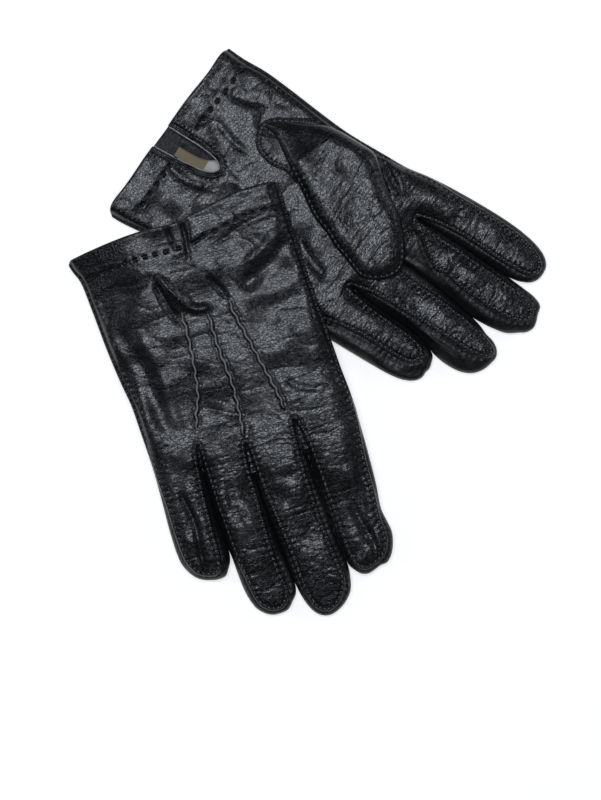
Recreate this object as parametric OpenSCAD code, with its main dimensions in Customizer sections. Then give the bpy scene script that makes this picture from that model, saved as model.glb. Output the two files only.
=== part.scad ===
// A pair of gentlemen's leather dress gloves. The left glove lies palm up, and the right
// glove lies across it, back up. Both are drawn in one glove frame: X across the hand with
// the index finger at -X, Y from the cuff to the fingertips, the palm on the plane Z = 0 and
// the back of the hand above it. The left glove is that frame turned over.

/* [Leather and lining] */
// Thickness of the glove leather
leather_t = 0.9; // [0.7:0.1:1.1]
// Thickness of the knitted lining
lining_t = 0.8; // [0.5:0.1:1]
// Clearance between pieces that move against each other
gap = 0.3; // [0.3:0.1:0.5]

/* [Hand] */
// Thickness of the empty glove, palm to back
hand_h = 10; // [9.5:0.5:12]
// Distances from the cuff at which the side edges are given
edge_y = [0, 60, 110, 145]; // [0:1:150]
// Index side edge of the right glove at those distances
right_index_edge = [-65, -66, -68, -68.5]; // [-75:0.5:-50]
// Little finger side edge of the right glove at those distances
right_little_edge = [65, 58.5, 54.5, 54.5]; // [50:0.5:70]
// Index side edge of the left glove at those distances
left_index_edge = [-58, -55.5, -55, -58]; // [-75:0.5:-50]
// Little finger side edge of the left glove at those distances
left_little_edge = [60, 57, 55, 54.5]; // [50:0.5:70]
// How far the cuff line of the right glove is off square at its two corners
right_cuff_rise = [-4, 4]; // [-6:0.5:6]
// How far the cuff line of the left glove is off square at its two corners
left_cuff_rise = [3, -4]; // [-6:0.5:6]

/* [Fingers] */
// Distance of each finger's bend line from the cuff, index to little
bend_y = [152, 161, 160, 147]; // [140:1:165]
// Length of each finger beyond its bend line, index to little
finger_len = [77, 84, 74, 58]; // [50:1:90]
// Width of the right glove's fingers, index to little
right_finger_w = [31, 31, 26, 26.5]; // [20:0.5:32]
// Middle of the right glove's bend lines, index to little
right_finger_x = [-52.5, -18.9, 11.5, 41]; // [-60:0.1:50]
// Lean of the right glove's fingers towards the index side
right_splay = [0, 2, 2.5, 0.5]; // [-5:0.5:5]
// Width of the left glove's fingers, index to little
left_finger_w = [26, 29.5, 23, 26.5]; // [20:0.5:32]
// Middle of the left glove's bend lines, index to little
left_finger_x = [-45, -15.7, 12, 40.8]; // [-60:0.1:50]
// Lean of the left glove's fingers towards the index side
left_splay = [1, 0, -4, -1]; // [-5:0.5:5]

/* [Thumb] */
// Middle of the thumb's bend line
thumb_pos = [-33, 83]; // [-60:1:100]
// Lean of the thumb across the palm, away from the index side
thumb_lean = 25; // [20:1:30]
// Centre of the thumb's round tip
thumb_tip_pos = [-2, 141]; // [-10:1:150]
// Radius of the thumb's round tip
thumb_tip_r = 17; // [14:0.5:18]
// Thickness of the thumb at its bend line, right and left glove
thumb_root_h = [9, 10]; // [8:0.5:12]
// Thickness of the thumb at its tip, right and left glove
thumb_tip_h = [4.4, 8]; // [4.2:0.1:10]
// Distance from the thumb's bend line to where it has thinned to its tip
thumb_taper_len = 80; // [70:1:90]
// Distance that the thumb runs back from its bend line into the palm, right and left glove
thumb_root_len = [22, 34]; // [20:1:36]

// Thickness of the thumb's lining
thumb_lining_t = 0.6; // [0.4:0.1:0.8]

/* [Cuff] */
// Width of the leather facing turned inside the cuff
facing_w = 13; // [10:1:20]
// Distance of the hem stitches from the cuff
hem_y = 15; // [12:0.5:18]
// Middle of the palm vent, across the hand
vent_x = 5.8; // [0:0.1:10]
// Width of the palm vent
vent_w = 12; // [10:0.5:16]
// Length of the palm vent
vent_len = 37; // [25:1:45]
// Width of the piping bound round the vent
binding_w = 1.6; // [1:0.1:2.5]
// Height of that piping above the palm's face
binding_proud = 0.4; // [0.2:0.1:0.8]
// Length, width and thickness of the elastic at the back of the wrist
elastic_size = [44, 6, 0.5]; // [0.3:0.1:60]
// Distance of the elastic from the cuff
elastic_y = 19; // [17:1:40]
// Length, width and thickness of the blank care label
label_size = [16, 22, 0.3]; // [0.2:0.1:30]

/* [Sewing] */
// Length, width and depth of a hem stitch
hem_stitch = [4.5, 0.9, 0.3]; // [0.2:0.1:6]
// Distance from one hem stitch to the next
hem_pitch = 7; // [6:0.5:9]
// Distance of the hem row's ends from the index side, the little finger side and the piping
hem_margin = [4, 6, 2]; // [2:0.5:8]
// Length, height and stand-off of a seam stitch
seam_stitch = [2.4, 0.8, 0.25]; // [0.2:0.05:4]
// Distance from one seam stitch to the next
seam_pitch = 5; // [3.5:0.5:8]
// Depth of the foot of a seam stitch below the back's inner face
seam_drop = 1.6; // [1:0.1:3]
// Distance of a finger's first seam stitches from its bend line
seam_start = 2; // [1:0.5:5]
// Bearings of the first and last stitch round the thumb's tip, and from one to the next
thumb_seam_turn = [-20, 92, 14]; // [-30:1:120]
// Width and depth of the sewn points on the back of the hand
point_size = [1.2, 0.5]; // [0.3:0.1:2]
// Finger ends of the three points, across the hand
point_top_x = [-29.5, -2.5, 22.5]; // [-35:0.5:30]
// Wrist ends of the three points, across the hand
point_foot_x = [-18, -4, 12]; // [-30:0.5:25]
// Finger ends and wrist ends of the points, from the cuff
point_y = [120, 54]; // [40:1:125]

/* [Lay of the pair] */
// Cuff centre of the right glove
right_pos = [-78.5, 63.0]; // [-150:0.1:150]
// Height of the right glove's lowest fingertip
right_rest_h = 0.2; // [0.1:0.1:1]
// Turn of the right glove
right_turn = 197.3; // [190:0.1:205]
// Tilt of the right glove off the table
right_tilt = 3.7; // [3:0.05:5]
// Heading of the downhill side of that tilt, from the glove's own X axis
right_tilt_heading = 73.3; // [45:0.1:90]
// Cuff centre of the left glove
left_pos = [-81.4, 117.7]; // [-150:0.1:150]
// Turn of the left glove
left_turn = 238.1; // [230:0.1:245]

/* [Hidden] */
$fn = 48;
RIGHT = 0;
LEFT = 1;
SIDES = [RIGHT, LEFT];
INDEX = 0;
LITTLE = 3;
FINGERS = [INDEX:LITTLE];
side_names = ["right", "left"];
finger_names = ["index", "middle", "ring", "little"];
hand_nodes = ["back_panel", "palm_panel", "cuff_facing", "hand_lining", "vent_binding",
    "wrist_elastic", "thumb_base", "thumb_gusset", "back_points", "hand_stitches"];
thumb_nodes = ["thumb", "thumb_lining", "thumb_stitches"];
finger_nodes = ["finger", "fourchettes", "finger_lining", "stitches"];
NODES = [for (s = SIDES)
    each concat([for (n = concat(hand_nodes, thumb_nodes)) str(side_names[s], "_", n)],
        [for (f = FINGERS, n = finger_nodes) str(side_names[s], "_", finger_names[f], "_", n)],
        s == LEFT ? ["left_care_label"] : [])];
node = "all";

index_edge = [right_index_edge, left_index_edge];
little_edge = [right_little_edge, left_little_edge];
cuff_rise = [right_cuff_rise, left_cuff_rise];
finger_w = [right_finger_w, left_finger_w];
finger_x = [right_finger_x, left_finger_x];
splay = [right_splay, left_splay];
// Leather and lining together
wall_t = leather_t + lining_t;
// A length past every edge, for cuts that run right through
past = 30;
// A short length past a face, for cuts through one layer only
over = 1;
// Space between a stitch and the leather beside it
stitch_clear = 0.02;
// Distance from the cuff to which its opening is cut straight, and its extra margin at the side
mouth = [8, 1];
// Height on a finger's side wall of its seam stitches
seam_z = hand_h - leather_t - seam_drop;
// Corners of the thumb's leather in the glove frame: from the fold at the index side down
// to the point in the palm, and back up the side that faces the little finger
thumb_corners = [[-50, 78], [-51, 108], [-15, 153], [14.5, 137], [-16, 75], [-32.5, 50]];
// Corners of the thumb hole cut in the palm
hole_corners = [[-44, 81], [-35, 66], [-22, 77], [-34, 82]];
// Corners of the gusset beside the thumb's root, which the palm is cut away for
gusset_corners = [[-30, 46], [-22, 46], [-16, 51], [-13.5, 61], [-14.3, 73]];
// Farthest point of the right glove downhill, from the middle fingertip
downhill = max([for (f = FINGERS) finger_x[RIGHT][f] * cos(right_tilt_heading)
    + (bend_y[f] + finger_len[f]) * sin(right_tilt_heading)]);

leather_colour = "#1b1c21";
thread_colour = "#0c0c0f";
lining_colour = "#b4ab99";
elastic_colour = "#d8d4ca";

// Places one glove of the pair
module lay(s) {
    if (s == RIGHT)
        translate([right_pos.x, right_pos.y, right_rest_h + downhill * sin(right_tilt)])
            rotate([0, 0, right_turn])
                rotate(a = right_tilt, v = [-sin(right_tilt_heading), cos(right_tilt_heading), 0])
                    children();
    else
        translate([left_pos.x, left_pos.y, hand_h])
            rotate([0, 0, left_turn]) mirror([0, 0, 1]) children();
}

// A flat layer of the given plan between two heights
module layer(z0, z1) translate([0, 0, z0]) linear_extrude(z1 - z0) children();

// The finger's own frame: the middle of its bend line, with Y along the finger
module at_finger(s, f) translate([finger_x[s][f], bend_y[f]]) rotate(splay[s][f]) children();

// The thumb's own frame: the middle of its bend line, with Y along the thumb
module at_thumb() translate(thumb_pos) rotate(-thumb_lean) children();

// A row of boxes centred on the line from a to b
module stitch_row(a, b, pitch, size) {
    run = norm(b - a);
    steps = floor(run / pitch);
    heading = atan2(b.y - a.y, b.x - a.x);
    for (i = [0:steps])
        translate(a + (b - a) * (i + 0.5) / (steps + 1))
            rotate(heading) translate([-size.x / 2, -size.y / 2, 0]) cube(size);
}

// ---- Hand ----

// A point given in a finger's own frame, in the glove frame
function on_glove(s, f, p) = [
    finger_x[s][f] + p.x * cos(splay[s][f]) - p.y * sin(splay[s][f]),
    bend_y[f] + p.x * sin(splay[s][f]) + p.y * cos(splay[s][f])];

// Corner i of the index side edge and of the little finger side edge
function index_side(s, i) = [index_edge[s][i], edge_y[i] + (i == 0 ? cuff_rise[s][0] : 0)];
function little_side(s, i) = [little_edge[s][i], edge_y[i] + (i == 0 ? cuff_rise[s][1] : 0)];

// The outline of the hand: both side edges, and the bend line of each finger
module hand_plan(s) {
    last = len(edge_y) - 1;
    polygon(concat(
        [for (i = [0:last]) index_side(s, i)],
        [for (f = FINGERS, side = [-1, 1]) on_glove(s, f, [side * finger_w[s][f] / 2, -gap / 2])],
        [for (i = [last:-1:0]) little_side(s, i)]));
}

// The same outline less its side walls, open at the cuff and into every finger
module hand_room(s, inset) {
    offset(delta = -inset) hand_plan(s);
    for (f = FINGERS)
        at_finger(s, f) translate([inset - finger_w[s][f] / 2, -2 * inset])
            square([finger_w[s][f] - 2 * inset, past]);
    translate([index_edge[s][0] + inset, -past])
        square([little_edge[s][0] - index_edge[s][0] - 2 * inset - mouth[1], past + edge_y[0] + mouth[0]]);
}

// The palm vent, a slot with a round end, grown by a margin
module vent_plan(grow = 0) {
    r = vent_w / 2;
    translate([vent_x, vent_len - r]) circle(r + grow);
    translate([vent_x - r - grow, -past]) square([vent_w + 2 * grow, past + vent_len - r]);
}

module thumb_hole(z0, z1) layer(z0, z1) polygon(hole_corners);

module back_panel(s) color(leather_colour) difference() {
    layer(hand_h - leather_t, hand_h) hand_plan(s);
    point_strips();
    hem_row(s, hand_h - hem_stitch.z, true);
}

module palm_panel(s) color(leather_colour) difference() {
    layer(0, hand_h - leather_t) hand_plan(s);
    layer(leather_t, hand_h) hand_room(s, leather_t);
    layer(-over, wall_t) vent_plan(binding_w);
    layer(-over, over + leather_t) polygon(gusset_corners);
    thumb_hole(-over, over + leather_t);
    hem_row(s, 0, false);
}

// The inner shell that the facing and the lining share
module inner_shell(s) difference() {
    layer(leather_t, hand_h - leather_t) intersection() {
        hand_plan(s);
        hand_room(s, leather_t);
    }
    layer(wall_t, hand_h - wall_t) hand_room(s, wall_t);
    layer(0, wall_t) vent_plan(binding_w);
    thumb_hole(0, over + wall_t);
}

module cuff_band() translate([-past * 3, -past, -past]) cube([past * 6, past + facing_w, past * 2]);

module cuff_facing(s) color(leather_colour) intersection() {
    inner_shell(s);
    cuff_band();
}

module hand_lining(s) color(lining_colour) difference() {
    inner_shell(s);
    cuff_band();
    elastic_strip(s);
}

module elastic_strip(s) translate([-elastic_size.x / 2, elastic_y, hand_h - leather_t - elastic_size.z])
    cube(elastic_size);

module wrist_elastic() color(elastic_colour) elastic_strip(s);

// The piping round the vent, flush inside and proud of the palm
module vent_binding(s) color(leather_colour) intersection() {
    layer(-binding_proud, wall_t) difference() {
        vent_plan(binding_w);
        vent_plan();
    }
    layer(-past, past) hand_plan(s);
}

module care_label() color(elastic_colour)
    translate([vent_x - label_size.x / 2, vent_len - label_size.y / 2, hand_h - wall_t - label_size.z])
        cube(label_size);

module thumb_gusset() color(leather_colour) difference() {
    layer(0, leather_t) polygon(gusset_corners);
    thumb_hole(-over, over + leather_t);
}

// The sewn points: three straight rows let into the back
module point_strips()
    for (i = [0:2]) {
        top = [point_top_x[i], point_y[0], hand_h - point_size.y];
        foot = [point_foot_x[i], point_y[1], hand_h - point_size.y];
        stitch_row(foot, top, norm(top - foot) * 2, [norm(top - foot), point_size.x, point_size.y]);
    }

module back_points() color(thread_colour) point_strips();

// One hem row, let into the outer face whose inner side is at z
module hem_row(s, z, whole) {
    from = index_edge[s][0] + hem_margin[0];
    to = little_edge[s][0] - hem_margin[1];
    vent = vent_w / 2 + binding_w + hem_margin[2];
    if (whole) stitch_row([from, hem_y, z], [to, hem_y, z], hem_pitch, hem_stitch);
    else {
        stitch_row([from, hem_y, z], [vent_x - vent, hem_y, z], hem_pitch, hem_stitch);
        stitch_row([vent_x + vent, hem_y, z], [to, hem_y, z], hem_pitch, hem_stitch);
    }
}

// Seam stitches up the side edge with the given corners, just clear of it on its outer side
module side_row(corners, out) {
    clear = [out * (seam_stitch.z / 2 + stitch_clear), 0, seam_z];
    for (i = [0:len(corners) - 2])
        stitch_row([corners[i].x, corners[i].y, 0] + clear, [corners[i + 1].x, corners[i + 1].y, 0] + clear,
            seam_pitch, [seam_stitch.x, seam_stitch.z, seam_stitch.y]);
}

module hand_stitches(s) color(thread_colour) {
    hem_row(s, hand_h - hem_stitch.z, true);
    hem_row(s, 0, false);
    side_row([for (i = [0:len(edge_y) - 1]) index_side(s, i)], -1);
    side_row([for (i = [0:len(edge_y) - 1]) little_side(s, i)], 1);
}

// ---- Thumb ----

// The whole thumb with its root, inset by a wall, in the glove frame
module thumb_block(s, inset, top) intersection() {
    layer(-past, past) {
        offset(delta = -inset) polygon(thumb_corners);
        translate(thumb_tip_pos) circle(thumb_tip_r - inset);
    }
    at_thumb() rotate([90, 0, 90]) translate([0, 0, -2 * past]) linear_extrude(4 * past)
        offset(delta = -inset) polygon([[-thumb_root_len[s], top], [0, -thumb_root_h[s]],
            [thumb_taper_len, -thumb_tip_h[s]], [past * 4, -thumb_tip_h[s]], [past * 4, top]]);
}

// Keeps what lies before the thumb's bend line, or beyond it
module thumb_cut(beyond) intersection() {
    children();
    at_thumb() translate([-2 * past, beyond ? gap / 2 : -5 * past - gap / 2, -past])
        cube([4 * past, 5 * past, 2 * past]);
}

module thumb_shell(s, outer, inner, top) thumb_cut(true) difference() {
    thumb_block(s, outer, top);
    thumb_block(s, inner, top);
}

module thumb_base(s) color(leather_colour) difference() {
    thumb_cut(false) difference() {
        thumb_block(s, 0, 0);
        thumb_block(s, leather_t, 0);
    }
    thumb_hole(-1.5 * leather_t, over);
}

module thumb(s) color(leather_colour) thumb_shell(s, 0, leather_t, -gap);

module thumb_lining(s) color(lining_colour) thumb_shell(s, leather_t, leather_t + thumb_lining_t, -gap);

// Stitches round the tip, half way up its side
module thumb_stitches(s) color(thread_colour)
    for (a = [thumb_seam_turn[0]:thumb_seam_turn[2]:thumb_seam_turn[1]])
        translate([thumb_tip_pos.x, thumb_tip_pos.y, -gap - thumb_tip_h[s] / 2]) rotate(a)
            translate([thumb_tip_r, -seam_stitch.x / 2, 0])
                cube([seam_stitch.z, seam_stitch.x, seam_stitch.y]);

// ---- Fingers ----

// The outline of a finger beyond its bend line, inset by a wall but open at the root
module finger_plan(s, f, inset) {
    r = finger_w[s][f] / 2;
    long = finger_len[f] - r;
    translate([0, long]) circle(r - inset);
    translate([inset - r, inset > 0 ? -past : gap / 2])
        square([2 * (r - inset), long + (inset > 0 ? past : -gap / 2)]);
}

// The straight strips along a finger's sides, between its root and its round tip
module side_strips(s, f, sides) {
    r = finger_w[s][f] / 2;
    for (side = sides)
        translate([side < 0 ? -r : r - leather_t, gap / 2])
            square([leather_t, finger_len[f] - r - gap / 2]);
}

// Sides of a finger that have a fourchette: those that face another finger
function inner_sides(f) = f == INDEX ? [1] : f == LITTLE ? [-1] : [-1, 1];

// The finger's leather: back, palm side, round tip and any outer side, less the fourchettes
module finger(s, f) color(leather_colour) at_finger(s, f) difference() {
    layer(0, hand_h) finger_plan(s, f, 0);
    layer(leather_t, hand_h - leather_t) {
        finger_plan(s, f, leather_t);
        side_strips(s, f, inner_sides(f));
    }
}

module fourchettes(s, f) color(leather_colour) at_finger(s, f)
    layer(leather_t, hand_h - leather_t) side_strips(s, f, inner_sides(f));

module finger_lining(s, f) color(lining_colour) at_finger(s, f) difference() {
    intersection() {
        layer(leather_t, hand_h - leather_t) finger_plan(s, f, leather_t);
        layer(0, hand_h) finger_plan(s, f, 0);
    }
    layer(wall_t, hand_h - wall_t) finger_plan(s, f, wall_t);
}

module finger_stitches(s, f) color(thread_colour) at_finger(s, f) {
    r = finger_w[s][f] / 2;
    for (side = [-1, 1]) {
        x = side * (r + seam_stitch.z / 2);
        stitch_row([x, seam_start, seam_z], [x, finger_len[f] - r, seam_z], seam_pitch,
            [seam_stitch.x, seam_stitch.z, seam_stitch.y]);
    }
}

// Draws a node when it is the one asked for
function wanted(s, name) = node == "all" || node == str(side_names[s], "_", name);
function wanted_finger(s, f, name) = wanted(s, str(finger_names[f], "_", name));

for (s = SIDES) {
    if (wanted(s, "back_panel")) lay(s) back_panel(s);
    if (wanted(s, "palm_panel")) lay(s) palm_panel(s);
    if (wanted(s, "cuff_facing")) lay(s) cuff_facing(s);
    if (wanted(s, "hand_lining")) lay(s) hand_lining(s);
    if (wanted(s, "vent_binding")) lay(s) vent_binding(s);
    if (wanted(s, "wrist_elastic")) lay(s) wrist_elastic();
    if (wanted(s, "thumb_base")) lay(s) thumb_base(s);
    if (wanted(s, "thumb_gusset")) lay(s) thumb_gusset();
    if (wanted(s, "back_points")) lay(s) back_points();
    if (wanted(s, "hand_stitches")) lay(s) hand_stitches(s);
    if (wanted(s, "thumb")) lay(s) thumb(s);
    if (wanted(s, "thumb_lining")) lay(s) thumb_lining(s);
    if (wanted(s, "thumb_stitches")) lay(s) thumb_stitches(s);
    for (f = FINGERS) {
        if (wanted_finger(s, f, "finger")) lay(s) finger(s, f);
        if (wanted_finger(s, f, "fourchettes")) lay(s) fourchettes(s, f);
        if (wanted_finger(s, f, "finger_lining")) lay(s) finger_lining(s, f);
        if (wanted_finger(s, f, "stitches")) lay(s) finger_stitches(s, f);
    }
}
if (wanted(LEFT, "care_label")) lay(LEFT) care_label();
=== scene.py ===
import math
import bpy
import numpy as np
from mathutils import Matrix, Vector
from mathutils.geometry import delaunay_2d_cdt


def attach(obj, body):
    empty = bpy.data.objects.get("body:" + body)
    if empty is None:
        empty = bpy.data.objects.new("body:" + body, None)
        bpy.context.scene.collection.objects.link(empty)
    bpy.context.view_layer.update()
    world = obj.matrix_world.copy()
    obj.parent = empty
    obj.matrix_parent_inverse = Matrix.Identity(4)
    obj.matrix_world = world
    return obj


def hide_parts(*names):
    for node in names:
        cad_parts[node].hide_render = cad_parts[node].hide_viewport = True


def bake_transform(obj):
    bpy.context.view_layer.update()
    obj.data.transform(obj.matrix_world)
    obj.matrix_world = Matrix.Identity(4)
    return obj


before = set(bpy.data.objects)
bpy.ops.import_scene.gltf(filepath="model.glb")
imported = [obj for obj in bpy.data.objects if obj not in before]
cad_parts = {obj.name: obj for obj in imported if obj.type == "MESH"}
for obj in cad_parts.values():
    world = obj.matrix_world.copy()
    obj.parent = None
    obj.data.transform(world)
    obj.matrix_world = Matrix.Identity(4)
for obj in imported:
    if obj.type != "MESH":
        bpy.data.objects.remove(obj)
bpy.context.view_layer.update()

link = bpy.context.scene.collection.objects.link

# ---- Glove frame ----
# Each glove is drawn flat in millimetres: X across the hand with the index finger at -X, Y from
# the cuff to the tips, and Z up from the side that lies down to the side that is seen. The right
# glove shows its back, and the left one its palm.
MM = 0.001
SIDES = ("right", "left")
FINGERS = ("index", "middle", "ring", "little")
MID = 5.0                  # height of the outline above the side that lies down
LEATHER = 0.9              # one layer of leather
SEAM_IN = 1.9              # stitches from the edge of the leather
SEAM_PITCH = 3.5
SEAM_START = 12.0          # first seam stitch, from the cuff
SEAM_STITCH = (1.5, 0.34)  # length and radius of a seam stitch
HEM = 15.0                 # hem stitches from the cuff edge
HEM_START, HEM_PITCH = 5.0, 6.8
HEM_STITCH = (3.6, 0.36)
VENT_SIDES = (-4.5, 17.0)  # the hem stitches stop either side of the vent
FACING = 13.5              # width of the leather turned inside the cuff
LINING_IN, LINING_START = 1.7, 11.0
ELASTIC_HALF, ELASTIC_Y = 22.0, (19.0, 25.0)
LABEL_X, LABEL_Y, LABEL_T = (-1.5, 13.0), (29.5, 47.5), 0.3

# Where the gloves lie, as in the CAD
TABLE_GAP = 0.05
TURN = {"right": math.radians(197.3), "left": math.radians(238.1)}
PLACE = {"right": (-78.5, 63.0), "left": (-81.4, 117.7)}
TILT, TILT_HEADING, DOWNHILL, REST_H = math.radians(3.7), math.radians(73.3), 229.0, 0.2
DROOP = 7.0                # the free corner of the right glove's cuff hangs by this

# Grid spacing of the seen leather, the leather below and the lining, and of rows along the edges
FINE, COARSE, LINING_GRID = ((0.65, 1.2, 3.2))
EDGE_RINGS = (0.12, 0.42, 0.9, 1.5, 2.1, 2.8, 3.7)


def smooth(a, b, x):
    """0 up to a and 1 from b on, with a smooth change between them."""
    t = np.clip((np.asarray(x, float) - a) / (b - a), 0, 1)
    return t * t * (3 - 2 * t)


def ridge(d, width):
    """A round ridge along d = 0, 1 high."""
    return np.exp(-(d / width) ** 2)


def domed(t, power, blunt):
    """A rise from 0 to 1, steep at its foot."""
    return (1 - (1 - np.clip(t, 0, 1)) ** power) ** blunt


def round_over(d, r=LEATHER):
    """The rounded edge of a sheet, 0 at the edge and 1 from r inwards."""
    t = np.clip(d / r, 0, 1)
    return np.sqrt(np.maximum(1 - (1 - t) ** 2, 0))


def place(side, v):
    """Glove frame to the row frame, in metres."""
    v = np.asarray(v, float)
    x, y, z = v[:, 0], v[:, 1], v[:, 2]
    for slit in SLITS[side]:      # the fingers lie against each other: draw both sides of each slit in
        xs, ys = zip(*slit)
        u = x - np.interp(y, ys, xs)
        close = np.exp(-(u / 0.95) ** 4) * smooth(ys[0] - 1.5, ys[0] - 0.2, y)
        x = x - u * close * (1 - smooth(ys[-1] - 3, ys[-1] + 1, y))
    if side == "right":
        fall = x * math.cos(TILT_HEADING) + y * math.sin(TILT_HEADING)
        z = z + REST_H + (DOWNHILL - fall) * math.sin(TILT)
        z = z - DROOP * smooth(22, 70, x) * smooth(112, 25, y)
    else:
        z = np.maximum(z, TABLE_GAP)      # the left glove lies on the table
    c, s = math.cos(TURN[side]), math.sin(TURN[side])
    px, py = PLACE[side]
    return np.stack([x * c - y * s + px, x * s + y * c + py, z], 1) * MM


# ---- Plane geometry ----
def spline(points, step=1.0):
    """A centripetal Catmull-Rom curve through the points, cut into equal steps."""
    p = np.asarray(points, float)
    p = np.vstack([2 * p[0] - p[1], p, 2 * p[-1] - p[-2]])
    out = []
    for a, b, c, d in zip(p[:-3], p[1:-2], p[2:-1], p[3:]):
        t1 = math.sqrt(max(np.hypot(*(b - a)), 1e-6))
        t2 = t1 + math.sqrt(max(np.hypot(*(c - b)), 1e-6))
        t3 = t2 + math.sqrt(max(np.hypot(*(d - c)), 1e-6))
        t = np.linspace(t1, t2, max(3, int(np.hypot(*(c - b)) / 0.6) + 2))[:, None]
        a1 = (t1 - t) / t1 * a + t / t1 * b
        a2 = (t2 - t) / (t2 - t1) * b + (t - t1) / (t2 - t1) * c
        a3 = (t3 - t) / (t3 - t2) * c + (t - t2) / (t3 - t2) * d
        b1 = (t2 - t) / t2 * a1 + t / t2 * a2
        b2 = (t3 - t) / (t3 - t1) * a2 + (t - t1) / (t3 - t1) * a3
        out.append(((t2 - t) / (t2 - t1) * b1 + (t - t1) / (t2 - t1) * b2)[:-1])
    out.append(p[-2][None])
    return resample(np.vstack(out), step)


def resample(line, step):
    """A curve cut into equal steps."""
    run = lengths(line)
    n = max(2, int(round(run[-1] / step)) + 1)
    s = np.linspace(0, run[-1], n)
    return np.stack([np.interp(s, run, line[:, k]) for k in range(line.shape[1])], 1)


def closed(loop):
    """An outline with its first point again at its end."""
    return np.vstack([loop, loop[:1]])


def lengths(line):
    """The length along a curve at each of its points."""
    return np.concatenate([[0], np.cumsum(np.linalg.norm(np.diff(line, axis=0), axis=1))])


def at(line, s, reach=0.4):
    """Points and unit tangents of a curve at the lengths s."""
    run = lengths(line)

    def point(s):
        return np.stack([np.interp(s, run, line[:, k]) for k in range(2)], 1)
    q = point(s + reach) - point(s - reach)
    return point(s), q / np.maximum(np.linalg.norm(q, axis=1), 1e-9)[:, None]


def left_of(tangent):
    return np.stack([-tangent[:, 1], tangent[:, 0]], 1)


def grouped(keys):
    """Index lists of equal keys."""
    order = np.argsort(keys, kind="stable")
    cuts = np.flatnonzero(np.diff(keys[order])) + 1
    return np.split(order, cuts) if len(keys) else []


def near(p, line, tile=12.0):
    """Distance from each point to a curve, and the length along the curve where it is nearest."""
    a, ab = line[:-1], np.diff(line, axis=0)
    l2 = np.maximum((ab ** 2).sum(1), 1e-12)
    run, middle, half = lengths(line), line[:-1] + ab / 2, np.sqrt(l2) / 2
    dist, s = np.empty(len(p)), np.empty(len(p))
    tiles = np.floor(p / tile).astype(int)
    for members in grouped(tiles[:, 0] * 100003 + tiles[:, 1]):      # only segments near each tile count
        here = p[members]
        centre = (tiles[members[0]] + 0.5) * tile
        reach = np.hypot(*(middle - centre).T)
        some = np.flatnonzero(reach - half <= (reach + half).min() + math.sqrt(2) * tile + 0.03)
        q = here[:, None, :] - a[None, some]
        t = np.clip((q[..., 0] * ab[some, 0] + q[..., 1] * ab[some, 1]) / l2[some], 0, 1)
        dd = (q[..., 0] - t * ab[some, 0]) ** 2 + (q[..., 1] - t * ab[some, 1]) ** 2
        k = dd.argmin(1)
        j = np.arange(len(k))
        dist[members] = np.sqrt(dd[j, k])
        s[members] = run[some[k]] + t[j, k] * (run[some[k] + 1] - run[some[k]])
    return dist, s


def inside(p, loop):
    """Which points lie in a closed outline."""
    a, b = loop, np.roll(loop, -1, axis=0)
    low, high = np.minimum(a[:, 1], b[:, 1]), np.maximum(a[:, 1], b[:, 1])
    hit = np.zeros(len(p), bool)
    for row in grouped(np.floor(p[:, 1] / 4.0).astype(int)):
        x, y = p[row, 0][:, None], p[row, 1][:, None]
        some = np.flatnonzero((low <= y.max()) & (high >= y.min()))
        c, d = a[some], b[some]
        cross = (c[:, 1] > y) != (d[:, 1] > y)
        rise = np.where(np.abs(d[:, 1] - c[:, 1]) < 1e-12, 1e-12, d[:, 1] - c[:, 1])
        hit[row] = (cross & (x < (d[:, 0] - c[:, 0]) * (y - c[:, 1]) / rise + c[:, 0])).sum(1) % 2 == 1
    return hit


def inset(loop, by, slack=0.93):
    """A closed outline drawn in by a distance, without the points that would cross over."""
    turn = np.roll(loop, -1, axis=0) - np.roll(loop, 1, axis=0)
    turn /= np.maximum(np.linalg.norm(turn, axis=1), 1e-9)[:, None]
    area = 0.5 * np.sum(loop[:, 0] * np.roll(loop[:, 1], -1) - np.roll(loop[:, 0], -1) * loop[:, 1])
    p = loop + left_of(turn) * (-by if area < 0 else by)
    d, _ = near(p, closed(loop))
    return p[(d > by * slack) & inside(p, loop)]


def rows_along(line, offsets, loop, spacing):
    """Points on both sides of a curve, clear of the outline's own points."""
    p, t = at(line, np.arange(0, lengths(line)[-1], spacing * 0.8))
    rows = []
    for offset in offsets:
        q = p + left_of(t) * offset
        q = q[near(q, line)[0] > abs(offset) * 0.93]
        q = q[inside(q, loop)]
        rows.append(q[near(q, closed(loop))[0] > 0.35 * spacing])
    return rows


def fill(loop, marks, spacing):
    """A staggered grid of points in the outline, away from the marks."""
    cell, pitch_y = spacing * 0.62, spacing * 0.866
    low = marks.min(0) - 3 * spacing
    taken = np.zeros(((marks.max(0) - low) / cell).astype(int) + 8, bool)
    ij = ((marks - low) / cell).astype(int)
    for dx in (-1, 0, 1):
        for dy in (-1, 0, 1):
            taken[ij[:, 0] + dx, ij[:, 1] + dy] = True
    gx = np.arange(loop[:, 0].min(), loop[:, 0].max(), spacing)
    gy = np.arange(loop[:, 1].min(), loop[:, 1].max(), pitch_y)
    g = np.array(np.meshgrid(gx, gy)).reshape(2, -1).T
    odd = (np.round((g[:, 1] - gy[0]) / pitch_y).astype(int) % 2).astype(float)
    g[:, 0] += odd * spacing / 2 + 0.12 * spacing * np.sin(g[:, 1] * 3.1 + g[:, 0] * 1.7)
    ij = np.minimum(((g - low) / cell).astype(int), np.array(taken.shape) - 1)
    g = g[~taken[ij[:, 0], ij[:, 1]]]
    return g[inside(g, loop)]


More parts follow.
